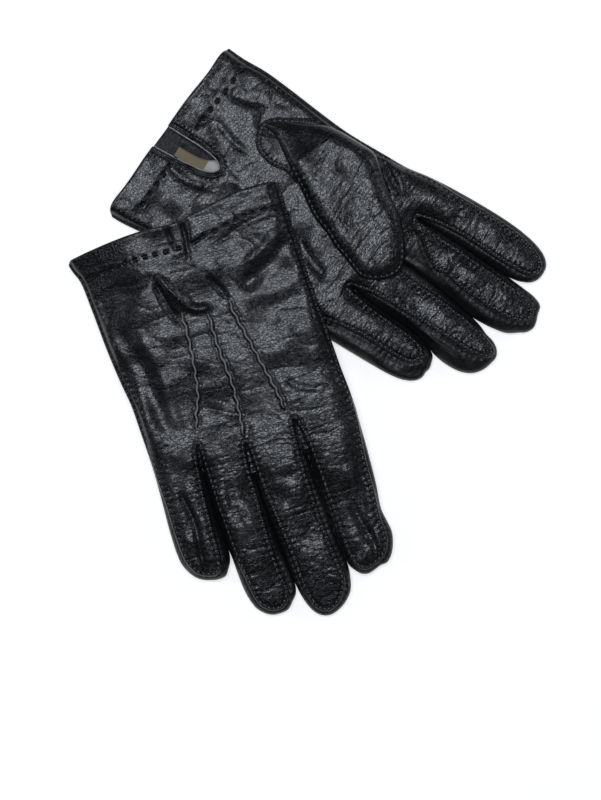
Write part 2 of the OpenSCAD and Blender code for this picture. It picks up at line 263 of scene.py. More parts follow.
def plan(loop, spacing, rings=(), rows=(), holes=()):
    """Points and triangles that fill an outline: rings follow its edge, rows follow other curves."""
    fixed, edges, count = [], [], 0
    for border in (loop, *holes):
        border = resample(closed(border), spacing * 0.9)[:-1]
        edges += [(count + i, count + (i + 1) % len(border)) for i in range(len(border))]
        fixed.append(border)
        count += len(border)
    loop = fixed[0]
    marks = np.vstack(fixed + [inset(loop, ring) for ring in rings]
                      + [row for line, offsets in rows for row in rows_along(line, offsets, loop, spacing)])
    points = np.vstack([marks, fill(loop, marks, spacing)])
    cut = delaunay_2d_cdt([Vector(v) for v in points.tolist()], edges, [], 0, 1e-5, False)
    v, f = np.array([tuple(q) for q in cut[0]]), np.array(cut[2], int)
    mid = v[f].mean(1)
    keep = inside(mid, loop)
    for hole in holes:
        keep &= ~inside(mid, hole)
    return used(v, f[keep])


# ---- Noise ----
def grid_value(i, j, seed):
    """A value from 0 to 1 for each grid point, always the same."""
    h = np.sin(i * 127.1 + j * 311.7 + seed * 74.7) * 43758.5453
    return h - np.floor(h)


def noise(x, y, seed):
    """Smooth value noise from -1 to 1."""
    i, j = np.floor(x), np.floor(y)
    u, v = x - i, y - j
    u, v = u * u * (3 - 2 * u), v * v * (3 - 2 * v)
    a, b = grid_value(i, j, seed), grid_value(i + 1, j, seed)
    c, d = grid_value(i, j + 1, seed), grid_value(i + 1, j + 1, seed)
    return 2 * (a + (b - a) * u + (c - a) * v + (a - b - c + d) * u * v) - 1


def creased(x, y, seed):
    """Rounded pillows parted by sharp valleys, from 0 down to -1."""
    n = np.abs(noise(x + 0.6 * noise(x * 1.9, y * 1.9, seed + 9), y, seed))
    return -(1 - np.clip(n * 2.6, 0, 1)) ** 2


# ---- Outlines ----
# Slits between the fingers, as x against y; each starts at its crotch.
SLITS = {"right": [
    [(-34.6, 152), (-35.2, 180), (-35.9, 200), (-37.25, 212), (-38.1, 221)],
    [(-1.3, 155), (-1.65, 170), (-2.35, 185), (-3.3, 200), (-4.3, 212), (-5.2, 224)],
    [(26.3, 141), (26.8, 152), (26.9, 170), (26.3, 185), (25.9, 194.5)]], "left": [
    [(-32.3, 152), (-32.7, 175), (-32.3, 190), (-31.9, 205), (-31.5, 216.5)],
    [(-4.7, 154), (-6.2, 160), (-5.2, 175), (-3.7, 188), (-1.5, 200), (-0.1, 211)],
    [(22.3, 141), (22.9, 150), (23.7, 160), (24.3, 175), (25.5, 188), (27.8, 196), (29.8, 200)]]}
SLITS = {side: [resample(np.array(slit, float), 4.0).tolist() for slit in slits]
         for side, slits in SLITS.items()}
# Where the parting of two fingertips goes on past its slit
PAST_SLIT = {"right": [[], [], []], "left": [[], [], [(31.2, 201.3), (34.0, 204.0)]]}
# Tips from index to little finger
TIPS = {"right": [
    [(-69, 125), (-69, 140), (-68.5, 160), (-67.5, 180), (-66, 195), (-67, 202), (-68, 209), (-67, 215),
     (-64, 222), (-60, 226), (-56, 226.5), (-53, 227.5), (-48, 229), (-44, 228), (-40.5, 224.5)],
    [(-37, 228), (-35, 235), (-31, 240), (-26, 243.5), (-20, 245.5), (-15, 244.5), (-11, 241), (-8, 235),
     (-6.1, 228)],
    [(-3.6, 228), (-1, 231), (3, 235), (8, 236), (14, 235), (20, 230), (23, 223), (24.5, 215),
     (25.2, 203)],
    [(27.2, 198.5), (29, 201.5), (32, 205.5), (36, 206.3), (41, 205.5), (47, 203), (51, 199),
     (54.5, 192), (55.5, 185), (55.5, 170), (54.5, 150), (54, 130)]], "left": [
    [(-54.5, 130), (-56.5, 142), (-57.5, 150), (-58.5, 165), (-59, 180), (-59, 195), (-58, 208),
     (-56, 218), (-53, 225), (-49, 229), (-45, 230), (-40, 229.5), (-36, 227), (-33, 221.5)],
    [(-30.5, 226), (-29.6, 233), (-27, 238.5), (-22, 240), (-18, 241.5), (-14, 242), (-10, 240),
     (-7, 236), (-3, 230), (-1.4, 223), (-0.6, 216)],
    [(1.6, 216), (3.4, 220), (5, 226), (8, 230.5), (12, 232.5), (16, 232), (22, 230), (27, 226),
     (30, 220), (31, 213), (30.6, 205)],
    [(31.6, 201.2), (34, 202), (38, 203), (41, 202.3), (45, 202), (49, 199), (52, 193), (53.5, 185),
     (54, 175), (54.5, 150), (54.6, 130)]]}
INDEX_EDGE = {"right": [
    (-65, -3), (-65.5, 30), (-66, 60), (-67.5, 97), (-68, 110)], "left": [
    (-58.5, 5), (-58, 15), (-58.5, 30), (-57.5, 45), (-56, 60), (-54.5, 75), (-53.5, 90), (-54, 115)]}
LITTLE_EDGE = {"right": [
    (54.5, 110), (55, 95), (57, 80), (59, 60), (60.5, 35), (62, 17), (64.6, 10), (65.6, 6)], "left": [
    (55, 110), (57, 60), (59, 22), (60, 15), (61, 5), (61, -1)]}
CUFF = {"right": [
    (65.6, 6), (64, 3.8), (60, 3), (40, 0.8), (20, 0), (5, 1), (-5, 1), (-10, -0.5), (-20, -2), (-30, -4),
    (-40, -5.5), (-50, -5.5), (-62.5, -4.6), (-65, -3)], "left": [
    (61, -1), (58, -4), (54, -5), (40, -3.8), (20, -3), (12, -2.5), (0, -1.5), (-15, -0.5), (-25, 0.5),
    (-40, 2.3), (-54, 3), (-58.5, 5)]}
# Edge of the leather on the seen side: it leaves the outline at the fingers, where the side
# pieces are sewn in.
SEEN_EDGE = {"right": [
    (-69, 125), (-69, 140), (-67.2, 155), (-66, 170), (-65.6, 185), (-64.4, 200), (-65, 209), (-64, 215),
    (-61, 220.5), (-57, 223.6), (-52, 225.6), (-48, 226.6), (-44.5, 225.4), (-41.2, 221.5), (-39.4, 215),
    (-38.7, 208), (-38.3, 195), (-38, 185), (-37, 160), (-36.5, 150), (-36, 143), (-34.5, 136), (-33, 130),
    (-31.8, 138), (-31, 150), (-31, 168), (-31.5, 190), (-32.5, 205), (-33.5, 215), (-34.3, 224), (-33, 231),
    (-30, 236.5), (-25.5, 241), (-20, 243.2), (-15.5, 242), (-12, 238.5), (-10, 233), (-8.5, 225),
    (-7.8, 215), (-7, 200), (-5.2, 182), (-3.6, 165), (-3, 150), (-2.8, 142), (-2, 135), (-0.8, 142),
    (0, 150), (0.3, 170), (0.6, 185), (1, 200), (0.6, 212), (-0.8, 222), (0, 227), (2.5, 231), (5.5, 233.3),
    (9, 233.8), (13.5, 232.6), (17.5, 229), (20, 223.5), (21.3, 215), (22.6, 205), (23.8, 195), (24.6, 180),
    (25.2, 160), (25.2, 148), (25.3, 138), (25, 128), (27.2, 138), (28.4, 148), (29.5, 160), (30, 170),
    (30.6, 180), (31, 190), (32, 197), (34, 202), (37, 203.7), (41, 203.2), (46, 201), (49.5, 197.5),
    (52, 191.5), (53, 185), (53.4, 170), (53.2, 155), (54, 140), (54, 130)], "left": [
    (-54.5, 130), (-56.5, 142), (-57, 150), (-56.6, 162), (-57, 180), (-57, 195), (-56, 207), (-54, 216.5),
    (-51, 223), (-47.5, 227), (-44.5, 228), (-41, 227), (-38, 223), (-36.8, 216), (-36.4, 205), (-36.8, 190),
    (-37, 180), (-36, 165), (-34.5, 157), (-32.3, 150), (-31.4, 158), (-31, 165), (-30.3, 180), (-29.8, 190),
    (-29, 205), (-28.3, 217), (-27.8, 226), (-26, 232.5), (-23, 236.5), (-19, 238), (-15, 237), (-12, 233),
    (-10.3, 226), (-9.6, 215), (-10, 205), (-11, 190), (-13, 182), (-12, 177), (-14, 171), (-19, 164),
    (-24, 158), (-25, 152), (-18, 149), (-10, 149), (-4, 153), (-1.6, 160), (-1, 168), (0, 185), (0.8, 198),
    (2, 208), (4, 217), (6, 224), (8.5, 229), (11, 230.6), (14, 229.8), (16.8, 226), (18, 220), (18.4, 212),
    (18.3, 200), (18.2, 185), (18.4, 165), (19, 152), (20.4, 145), (22.3, 138), (24.2, 147), (25.3, 155),
    (26, 165), (26.6, 175), (27.2, 185), (28.8, 191), (31, 194.6), (35, 196), (39, 195), (42, 191),
    (43, 185), (43.2, 170), (43.6, 155), (46, 140), (50, 128), (54.8, 114)]}
VENT = [(-1.5, -6), (-1.5, 10), (-1.4, 22), (-0.6, 30), (1, 35), (4.6, 38), (8, 36), (10.2, 31), (11.4, 24),
    (12.5, 14), (14, -6)]
# A dark flap of the facing in the vent's left part: a sheet that stands in for the shade there
VENT_SHADE_FLAP = [(-1.4, 9), (4.5, 9), (5.2, 16), (4.6, 24), (2.8, 30), (0.6, 33), (-1.2, 28), (-1.4, 18)]
THUMB = [(-33, 46.5), (-38, 53), (-44, 66), (-50, 78), (-51.5, 92), (-51.5, 100), (-51, 109), (-48, 114),
    (-42, 121), (-35, 130), (-28, 141), (-20, 149), (-16, 152), (-10, 156), (-5, 158), (0, 158.5),
    (5, 156), (10, 151), (13, 146), (14.5, 140), (13, 135), (10, 127), (7, 118), (3, 110), (0, 101),
    (-4, 94), (-10, 85), (-16, 75), (-22, 66), (-28, 57), (-31.5, 48)]
THUMB_HINGE, THUMB_LEAN = np.array((-33, 83)), math.radians(25)
LEAN = np.array((math.sin(THUMB_LEAN), math.cos(THUMB_LEAN)))
THUMB_CUT = -7.0              # the hide is parted here, along the thumb from its hinge
# Height over the palm of the outer side of the thumb, at places along it from its hinge
THUMB_AT = (-36, -4, 40, 78)
THUMB_TALL = {"right": (1.0, 6.4, 4.6, 2.8), "left": (1.0, 9.0, 9.4, 8.2)}
HOLE_SEAM = [(-12, 79), (-14.5, 72), (-13.5, 62), (-14.5, 56), (-17, 50), (-22, 46), (-30, 44.2), (-36, 47),
    (-43, 57), (-50, 72)]
FINGER_X = {"index": -50, "middle": -18, "ring": 12, "little": 40}
CUT_Y = {"index": 152.5, "middle": 155.5, "ring": 155.5, "little": 141.5}
POINTS = [
    [(-29.5, 122), (-28, 110), (-26, 100), (-23, 85), (-20, 70), (-18, 60), (-17.5, 53)],
    [(-2.5, 130), (-4.5, 110), (-5, 100), (-4, 85), (-3.5, 70), (-4, 57)],
    [(22.5, 119), (20, 110), (16.5, 102), (14, 90), (12, 75), (11, 60), (11, 53)]]

# Folds of the seen side: (points, height, width) for long ones, (x, y, rx, ry, height) for swells
FOLDS = {"right": [
    ([(-8, 54), (3, 52), (12, 40), (19, 26)], 1.7, 2.6), ([(14, 57), (18, 42), (20, 28)], -1.8, 2.2),
    ([(-17.5, 53), (-13, 42), (-9, 34)], -1.2, 2), ([(-62, 30), (-45, 40), (-25, 50)], -1.4, 4.5),
    ([(-60, 22), (-45, 30), (-30, 38)], 0.8, 3), ([(40, 118), (42, 75), (50, 50)], -0.9, 4.5), ([(47, 108),
    (48, 80), (55, 56)], 0.4, 3.5), ([(32, 118), (34, 84), (38, 56)], 0.7, 4), ([(-55, 222), (-56, 214),
    (-53, 200), (-50, 185)], -1.2, 2.6), ([(41, 205), (42, 190), (40, 172), (43, 150)], -1.5, 1.8),
    ([(-33, 129), (-34.6, 152)], -2.6, 2.4), ([(-2, 134), (-1.6, 155)], -2.6, 2.4), ([(25, 127),
    (26.4, 145)], -2.6, 2.4), ([(-62, 160), (-58, 180), (-56, 196)], -0.8, 2.5), ([(-60, 120), (-40, 112),
    (-34, 104)], -0.6, 2.5), ([(-12, 120), (0, 117), (14, 108)], -0.5, 2), ([(14, 150), (16, 168),
    (13, 186)], -0.7, 3), ([(-50, 215), (-46, 221), (-44, 216)], 0.8, 1.4), ([(-58, 205), (-59, 214),
    (-56, 221)], 0.8, 1.4), ([(4.4, -1), (4.2, 8), (3.2, 17)], -1.6, 1.2), ([(-4.6, -1), (-4.4, 9),
    (-2.6, 24)], -1.7, 1.3), ([(-7.2, -1), (-7.1, 7), (-6.1, 15)], 1, 1.1), ([(20, 26), (30, 30), (44, 27),
    (58, 32)], -0.8, 2.6), ([(-60, 12), (-40, 14), (-20, 20)], -0.5, 2)], "left": [
    ([(-52, 112), (-45, 125), (-38, 135)], -1.3, 1.8), ([(-49, 111), (-42, 123), (-35, 133)], 0.9, 1.4),
    ([(-57, 128), (-48, 133), (-40, 140)], -0.6, 2), ([(22.5, 176), (22.8, 196), (23.4, 216)], 1.5, 1.1),
    ([(-26, 155), (-19, 163), (-13.5, 172), (-13, 178)], 1, 1.6), ([(46, 120), (46, 150), (45, 190)], -1.2,
    3.2), ([(-36, 18), (-38, 30), (-44, 42)], -0.7, 3), ([(-20, 20), (-14, 34), (-12, 48)], -0.6, 2.4),
    ([(18, 10), (20, 26), (17, 40)], -0.7, 2.6), ([(5, 44), (8, 60), (14, 84)], -0.8, 3.2), ([(12, 96),
    (20, 108), (26, 124)], -0.8, 3), ([(-25, 178), (-18, 182), (-13, 182)], -0.9, 1.6), ([(-24, 210),
    (-18, 213), (-12, 212)], -0.6, 1.6), ([(5, 162), (12, 163), (17, 161)], -0.7, 1.3), ([(4, 167),
    (11, 168), (17, 166)], -0.5, 1.1), ([(-54, 172), (-46, 170), (-40, 173)], -0.5, 1.8)]}
SWELLS = {"right": [
    (-40, 72, 22, 8, -1.4), (-45, 57, 9, 5, 0.9), (-20, 30, 9, 8, 1), (-40, 8, 10, 6, 0.4),
    (45, 75, 6, 14, 0.8), (40, 45, 9, 8, 0.8), (-46, 118, 12, 10, 0.7), (4, 85, 7, 18, 0.5),
    (-15, 100, 8, 16, 0.5), (-18, 190, 8, 26, 0.6), (11, 192, 8, 26, 0.7), (36, 190, 4, 12, 0.7),
    (48, 170, 4, 20, 0.4), (20, 12, 12, 5, -0.5)], "left": [
    (-40, 75, 12, 20, -0.4), (20, 60, 18, 18, 0.8), (-45, 20, 8, 10, 0.5), (35, 30, 10, 10, 0.6),
    (-46, 190, 7, 24, 0.7), (-20, 195, 6, 14, 0.7), (9, 195, 7, 24, 0.7), (34, 175, 7, 18, 0.8),
    (30, 125, 12, 10, 0.7), (-20, 222, 6, 8, 0.5)]}


# ---- Relief of the leather ----
def fold_height(p, side):
    """The long folds and the swells of the seen side."""
    out = np.zeros(len(p))
    for line, height, width in FOLDS[side]:
        c = spline(line, 2.0)
        m = ((p > c.min(0) - 3 * width) & (p < c.max(0) + 3 * width)).all(1)
        d, s = near(p[m], c)
        fade = np.minimum(smooth(-2, 7, s), smooth(-2, 7, lengths(c)[-1] - s))
        out[m] += height * ridge(d, width) * fade
    for x, y, rx, ry, height in SWELLS[side]:
        out += height * np.exp(-((p[:, 0] - x) / rx) ** 2 - ((p[:, 1] - y) / ry) ** 2)
    return out


def leather_noise(p, seed):
    """Soft waves, then creases that run closer together on the fingers."""
    x, y = p[:, 0], p[:, 1]
    finger = smooth(110, 160, y)
    out = 1.9 * noise(x / 25, y / 27, seed) + 0.6 * noise(x / 11, y / 9, seed + 1)
    out += (0.17 + 0.13 * finger) * creased(x / 13 + 0.05 * y, y / (8 - 2.5 * finger), seed + 2)
    out += (0.05 + 0.05 * finger) * creased(x / 6.5 - 0.03 * y, y / 3.6, seed + 3)
    return out + 0.03 * noise(x / 2.4, y / 1.9, seed + 4)


def seam_relief(d, s):
    """A sewn edge: a channel where the thread pulls the leather down, puckered between the stitches."""
    wave = 2 * np.abs(np.cos(np.pi * s / SEAM_PITCH)) - 1
    puckers = 0.42 * ridge(d - 0.95, 0.8) + 0.24 * ridge(d - 3.3, 1.3) + 0.22 * ridge(d - SEAM_IN, 0.6)
    return 0.45 * ridge(d - 0.95, 0.7) - 0.5 * ridge(d - SEAM_IN, 0.6) + wave * puckers


def wavy(line):
    """A sewn point on the back, which wavers as the thread pulls it."""
    c = spline(line, 0.7)
    s = lengths(c)
    _, t = at(c, s)
    return c + left_of(t) * (0.42 * np.sin(2 * np.pi * s / 7.6 + 1.5 * np.sin(s / 17)))[:, None]


class Glove:
    """The outlines and the heights of one glove."""
    def __init__(self, side):
        self.side = side
        self.seed = 10 if side == "right" else 50
        self.palm_up = side == "left"
        self.out = 1.0 if self.palm_up else -1.0  # the way the palm faces
        self.pattern = (700, 300, 0) if self.palm_up else (0, 0, 0)  # where its hide was cut
        line = list(INDEX_EDGE[side])
        for i, tip in enumerate(TIPS[side]):
            if i:
                line += [(x + 0.3, y) for x, y in SLITS[side][i - 1]]
            line += tip
            if i < 3:
                line += [(x - 0.3, y) for x, y in reversed(SLITS[side][i])]
        self.outline = spline(line + LITTLE_EDGE[side])
        self.edge = spline(INDEX_EDGE[side] + SEEN_EDGE[side] + LITTLE_EDGE[side])
        self.cuff = spline(CUFF[side])
        self.vent = spline(VENT)
        self.outline_loop = np.vstack([self.outline, self.cuff[1:-1]])
        self.edge_loop = np.vstack([self.edge, self.cuff[1:-1]])
        self.room = inset(self.outline_loop, LINING_IN)

    def finger(self, p):
        """0 for the hand, 1 to 4 for the fingers."""
        lane = np.zeros(len(p), int)
        for slit, past in zip(SLITS[self.side], PAST_SLIT[self.side]):
            xs, ys = zip(*(slit + past))
            lane += p[:, 0] > np.interp(p[:, 1], ys, xs)
        cut = np.array([CUT_Y[f] for f in FINGERS])
        return np.where(p[:, 1] > cut[lane], lane + 1, 0)

    def height(self, p, seen, leather=True):
        """Height of a sheet in the glove frame. leather is False for the side pieces under it."""
        d, s = near(p, self.outline)
        dc, sc = near(p, self.cuff)
        finger = smooth(100, 152, p[:, 1])
        rise = domed((d - 1.9 * (1 - finger)) / (7.5 + 4.0 * finger), 3.0 - 0.7 * finger, 0.55)
        tall = (3.9 + 1.9 * finger) if seen else (3.6 + 0.2 * finger)
        if seen:
            relief = fold_height(p, self.side) + leather_noise(p, self.seed)
        else:
            relief = 0.5 * leather_noise(p, self.seed + 200)
        calm = smooth(0.5, 5, d)
        z = np.maximum(tall * rise + calm * relief, -0.4 * rise)
        if not seen:
            z = np.minimum(z, 4.3)
        lift = round_over(d)
        if leather and not seen:
            z += 0.6 * seam_relief(d, s) * smooth(3, 12, dc)
        else:
            d_seam, s = near(p, self.edge)
        if leather and seen:
            lift = np.minimum(lift, round_over(d_seam))
            z += seam_relief(d_seam, s) * smooth(3, 12, dc)
        if not leather:
            lift *= 0.35
            z -= 0.7 * ridge(d_seam, 0.8) * calm
            z += 0.25 * ridge(d_seam - 1.2, 0.9) * np.cos(2 * np.pi * s / SEAM_PITCH) * smooth(0.3, 1.2, d)
        z += LEATHER * lift
        if leather:
            z += self.hem_relief(dc, sc) * smooth(0.5, 3, d)
            z += self.vent_relief(p) if seen == self.palm_up else self.point_relief(p)
            z = np.where(dc < LEATHER, z - LEATHER * (1 - round_over(dc)), z)
        return MID + (z if seen else -z)

    def hem_relief(self, dc, s):
        """The turned hem: a pit at each stitch and a soft roll either side of the row."""
        turned = 0.1 * (1 - smooth(HEM - 0.5, HEM + 4.5, dc))
        pits = smooth(0.0, 0.8, np.cos(2 * np.pi * (s - HEM_START) / HEM_PITCH))
        groove = -(0.04 + 0.95 * pits) * ridge(dc - HEM, 0.85)
        puff = 0.28 * ridge(dc - HEM + 3, 2.2) + 0.2 * ridge(dc - 2, 1.6)
        return turned + groove + puff * (1 + 0.5 * noise(s / 3.1, s * 0, 5))

    def vent_relief(self, p):
        """The sewn channel round the vent."""
        out = np.zeros(len(p))
        m = (np.abs(p[:, 0] - 6) < 16) & (p[:, 1] < 46)
        if m.any():
            d, s = near(p[m], self.vent)
            out[m] = 0.3 * ridge(d - 3.4, 0.7) * np.cos(2 * np.pi * s / 2.4) - 0.65 * ridge(d - 2.3, 0.55)
        return out

    def point_relief(self, p):
        """The leather drawn up along the points, and down beside them."""
        out = np.zeros(len(p))
        for line in POINTS:
            c = wavy(line)
            m = ((p > c.min(0) - 6) & (p < c.max(0) + 6)).all(1)
            d, s = near(p[m], c)
            fade = smooth(-3, 4, s) * smooth(-3, 6, lengths(c)[-1] - s)
            out[m] += (0.8 * ridge(d, 0.65) - 0.3 * ridge(d - 1.7, 0.8)) * fade
        return out

    def lining_height(self, p, seen):
        """Height of the lining, clear of the leather round it."""
        d, _ = near(p, closed(self.room))
        z = np.maximum(np.abs(self.height(p, seen, False) - MID) - 1.5, 0.05) * np.clip(d / 2.5, 0, 1)
        return MID + (z if seen else -z)


# ---- Meshes ----
def face_normals(v, f):
    return np.cross(v[f[:, 1]] - v[f[:, 0]], v[f[:, 2]] - v[f[:, 0]])


def normals_of(v, f):
    """Smooth unit normals of the points of a mesh."""
    n = face_normals(v, f)
    out = np.zeros_like(v)
    for k in range(3):
        np.add.at(out, f[:, k], n)
    return out / np.maximum(np.linalg.norm(out, axis=1), 1e-12)[:, None]


def used(v, f, *more):
    """Only the points that the triangles use."""
    keep = np.unique(f)
    index = np.full(len(v), -1)
    index[keep] = np.arange(len(keep))
    return (v[keep], index[f]) + tuple(m[keep] for m in more)


def joined(parts):
    """Several (points, triangles, normals) as one; tubes have None for their normals."""
    first = np.cumsum([0] + [len(v) for v, _, _ in parts])
    v = np.vstack([v for v, _, _ in parts])
    f = np.vstack([f + n for (_, f, _), n in zip(parts, first)])
    return v, f, None if parts[0][2] is None else np.vstack([n for _, _, n in parts])


def centres(v, f):
    return v[f].mean(1)[:, :2]


def of_finger(g, i, *sheets):
    """What some sheets have in finger i, or in the hand for 0, with the whole sheets' normals."""
    return joined([used(v, f[g.finger(centres(v, f)) == i], n) for v, f, n in sheets])


def surface(g, flat, up, height):
    """A sheet's points, triangles that face up or down, and normals."""
    p, f = flat
    v = np.column_stack([p, height(p)])
    faces_up = face_normals(v, f)[:, 2] > 0
    f = np.where(faces_up[:, None] == up, f, f[:, ::-1])
    return v, f, normals_of(place(g.side, v), f)


def grid_triangles(rows, columns, round_again=False):
    """Triangles of a grid of points, whose rows can run round to their start again."""
    i, j = np.meshgrid(np.arange(rows - 1), np.arange(columns - (not round_again)), indexing="ij")
    a, b = (i * columns + j).ravel(), (i * columns + (j + 1) % columns).ravel()
    return np.vstack([np.column_stack([a, b, b + columns]), np.column_stack([a, b + columns, a + columns])])


def tube(path, radii, around=8):
    """A tube with closed ends along a 3-D path."""
    t = np.gradient(path, axis=0)
    t /= np.linalg.norm(t, axis=1)[:, None]
    side = np.cross(t, (0, 0, 1.0))
    side /= np.maximum(np.linalg.norm(side, axis=1), 1e-9)[:, None]
    up = np.cross(side, t)
    k = np.arange(around)
    turn = (k * 2 * np.pi / around)[None, :, None]
    r = np.broadcast_to(radii, len(path))[:, None, None]
    v = path[:, None] + r * (np.cos(turn) * side[:, None] + np.sin(turn) * up[:, None])
    n = len(path)
    v = np.vstack([v.reshape(-1, 3), path[:1], path[-1:]])
    after, start, end, hub = (k + 1) % around, k * 0 + n * around, k * 0 + n * around + 1, (n - 1) * around
    caps = [np.column_stack(c) for c in ((after, k, start), (hub + k, hub + after, end))]
    return v, np.vstack([grid_triangles(n, around, True), *caps]), None


# One stitch: place along it from -1 to 1, thickness, and height over the leather
STITCH_SHAPE = np.array([(-1, 0.2, -0.5), (-0.82, 0.75, -0.2), (-0.4, 1, 0.05), (0, 1.05, 0.1),
                         (0.4, 1, 0.05), (0.82, 0.75, -0.2), (1, 0.2, -0.5)])


def threads(points, tangents, heights, length, radius, up=1):
    """A short stitch at each point, its ends diving into the leather."""
    run, thick, over = STITCH_SHAPE.T
    tubes = []
    for (x, y), (tx, ty), z in zip(points, tangents, heights):
        path = np.column_stack([x + tx * run * length / 2, y + ty * run * length / 2, z + up * over])
        tubes.append(tube(path, radius * thick, 6))
    return joined(tubes)


def stitch_points(line, loop, start):
    """Stitch places along a sewn edge, drawn in from it, and their directions."""
    p, t = at(line, np.arange(0.5 * SEAM_PITCH, lengths(line)[-1], SEAM_PITCH))
    q = p - left_of(t) * SEAM_IN
    keep = (near(q, line)[0] > SEAM_IN * 0.9) & inside(q, loop) & (q[:, 1] > start)
    return q[keep], t[keep]


def bend_of(g, which):
    """The body of a stall, and where its leather starts and ends its turn."""
    if which == "thumb":
        a, b = THUMB_HINGE + LEAN * (THUMB_CUT + 1.5), THUMB_HINGE + LEAN * 22
    else:
        a, b = (FINGER_X[which], CUT_Y[which] + 1.2), (FINGER_X[which], CUT_Y[which] + 25)
    ends = place(g.side, [(*a, MID), (*b, MID)])
    return f"{g.side}_{which}_stall", tuple(ends[0]), tuple(ends[1])


def make(g, name, part, look, node_name, bend=None, pattern=(0, 0, 0)):
    """A piece from (points in the glove frame, triangles, normals in the row frame)."""
    v, f, n = part
    name = f"{g.side}_{name}"
    mesh = bpy.data.meshes.new(name)
    mesh.vertices.add(len(v))
    mesh.vertices.foreach_set("co", place(g.side, v).astype(np.float32).ravel())
    mesh.loops.add(f.size)
    mesh.loops.foreach_set("vertex_index", f.astype(np.int32).ravel())
    mesh.polygons.add(len(f))
    mesh.polygons.foreach_set("loop_start", np.arange(0, f.size, 3, dtype=np.int32))
    mesh.update(calc_edges=True)
    mesh.shade_smooth()
    rest = mesh.attributes.new("rest", "FLOAT_VECTOR", "POINT")
    rest.data.foreach_set("vector", (v + np.array(pattern)).astype(np.float32).ravel())
    # How deep the creases of the hide are, more towards the fingers; the leather's painted crease shade
    # follows it too
    wrinkled = mesh.attributes.new("wrinkled", "FLOAT", "POINT")
    wrinkled.data.foreach_set("value", (0.45 + 0.45 * smooth(85, 150, v[:, 1])).astype(np.float32))
    if n is not None:
        mesh.normals_split_custom_set_from_vertices(n.tolist())
    obj = bpy.data.objects.new(name, mesh)
    link(obj)
    mesh.materials.append(look[0])
    if bend:
        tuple(bend[1])
        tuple(bend[2])
        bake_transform(obj)
    else:
        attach(obj, f"{g.side}_hand")
    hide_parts(f"{g.side}_{node_name}")


# ---- Materials ----
def material(name, base, rough, **sockets):
    m = bpy.data.materials.new(name)
    m.use_nodes = True
    b = m.node_tree.nodes["Principled BSDF"]
    b.inputs["Base Color"].default_value = (*base, 1)
    b.inputs["Roughness"].default_value = rough
    for k, v in sockets.items():
        b.inputs[k.replace("_", " ")].default_value = v
    return m, m.node_tree, b


def node(tree, kind, inputs=(), **props):
    n = tree.nodes.new(kind)
    for k, v in props.items():
        setattr(n, k, v)
    for k, v in dict(inputs).items():
        if isinstance(v, bpy.types.NodeSocket):
            tree.links.new(v, n.inputs[k])
        else:
            n.inputs[k].default_value = v
    return n


def math_node(tree, op, a, b=0.0, c=0.0):
    return node(tree, "ShaderNodeMath", {0: a, 1: b, 2: c}, operation=op).outputs[0]


def scaled(tree, vector, by):
    return node(tree, "ShaderNodeVectorMath", {0: vector, 1: by}, operation="MULTIPLY").outputs[0]


def softened(tree, value, low, high):
    """0 below low and 1 above high."""
    return node(tree, "ShaderNodeMapRange", {"Value": value, "From Min": low, "From Max": high},
                interpolation_type="SMOOTHSTEP").outputs[0]


def noise_node(tree, vector, by, detail, **more):
    inputs = {"Vector": scaled(tree, vector, by), "Scale": 1.0, "Detail": detail}
    return node(tree, "ShaderNodeTexNoise", {**inputs, **more})


def colour_between(tree, b, k, dark, pale):
    mix = node(tree, "ShaderNodeMix", {0: k, 6: (*dark, 1), 7: (*pale, 1)}, data_type="RGBA")
    tree.links.new(mix.outputs[2], b.inputs["Base Color"])


def bumped(tree, b, height, strength, distance):
    bump = node(tree, "ShaderNodeBump", {"Height": height, "Strength": strength, "Distance": distance})
    tree.links.new(bump.outputs[0], b.inputs["Normal"])


def leather(name, dark, pale, rough, grain=1.0, slot="glove_leather"):
    """Black hide: small rounded cells parted by fine creases, cross wrinkles and rubbed, shinier patches. Its
    colour is painted shade in the creases and between the cells, and painted sheen on the raised cells.
    """
    m, tree, b = material(name, dark, rough, Specular_IOR_Level=0.5)
    rest = node(tree, "ShaderNodeAttribute", attribute_name="rest").outputs["Vector"]
    crease_strength = node(tree, "ShaderNodeAttribute", attribute_name="wrinkled").outputs["Fac"]
    warp = noise_node(tree, rest, (0.45, 0.45, 0.45), 1.0).outputs["Color"]
    bent = node(tree, "ShaderNodeVectorMath", {0: warp, 1: (1.6, 1.6, 1.6), 2: rest},
                operation="MULTIPLY_ADD").outputs[0]
    squashed = scaled(tree, bent, (0.55, 0.74, 0.62))
    cells = node(tree, "ShaderNodeTexVoronoi", {"Vector": squashed, "Scale": 1.0}, feature="DISTANCE_TO_EDGE")
    pillow = softened(tree, cells.outputs[0], 0.0, 0.11)
    across = noise_node(tree, rest, (0.24, 0.66, 0.5), 2.0, Roughness=0.5, Distortion=0.8)
    off_line = math_node(tree, "ABSOLUTE", math_node(tree, "SUBTRACT", across.outputs[0], 0.5))
    lines = softened(tree, off_line, 0.005, 0.055)
    valley = math_node(tree, "MULTIPLY", math_node(tree, "SUBTRACT", 1.0, lines), crease_strength)
    patches = noise_node(tree, rest, (0.045, 0.05, 0.05), 3.0, Roughness=0.6).outputs[0]
    h = math_node(tree, "MULTIPLY_ADD", valley, -0.70, math_node(tree, "MULTIPLY", pillow, 0.30))
    bumped(tree, b, h, 1.0, 0.00011 * grain)
    # Painted shade and sheen: the base colour runs from the dark colour in the creases and cell edges to the
    # pale colour on the raised cells, which are also smoother
    raised = math_node(tree, "MULTIPLY", math_node(tree, "MULTIPLY_ADD", pillow, 0.42, 0.58),
                       math_node(tree, "SUBTRACT", 1.0, valley))
    colour_between(tree, b, raised, dark, pale)
    r = math_node(tree, "MULTIPLY_ADD", patches, -0.20, rough + 0.36)
    tree.links.new(math_node(tree, "MULTIPLY_ADD", raised, -0.26, r), b.inputs["Roughness"])
    return m, slot


